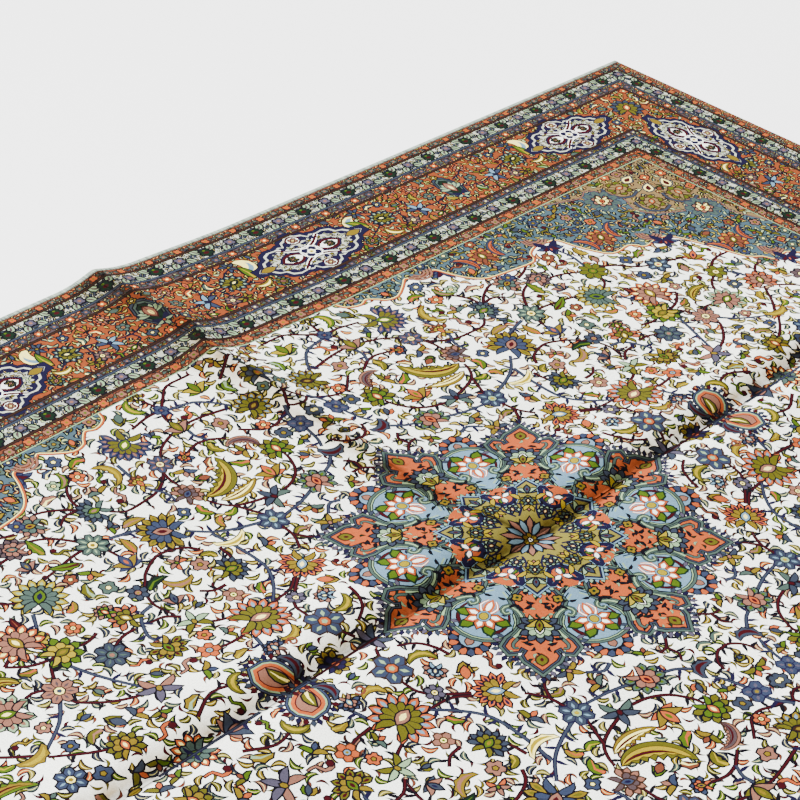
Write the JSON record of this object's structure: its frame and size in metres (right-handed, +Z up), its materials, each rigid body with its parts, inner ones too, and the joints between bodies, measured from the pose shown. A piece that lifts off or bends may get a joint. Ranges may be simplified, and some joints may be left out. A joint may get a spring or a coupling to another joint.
{
  "type": "oriental silk rug",
  "caption": "Rectangular knotted silk rug lying flat, with crossed storage creases and an overcast cord bound along each long side.",
  "frame": {"origin": "middle of the rug's footprint, on the floor under it", "axes": "+X along the rug's length, +Y across it towards the left binding, +Z up out of the pile"},
  "size_m": [2.71, 1.83, 0.0355],
  "materials": {
    "silk_pile": "clipped silk pile in ivory, coral, blues, greens and golds, with a soft sheen",
    "side_binding": "pale grey-green overcast yarn, matt"
  },
  "bodies": {
    "root": {"rug_body": "silk_pile", "binding_left": "side_binding", "binding_right": "side_binding"}
  },
  "joints": []
}
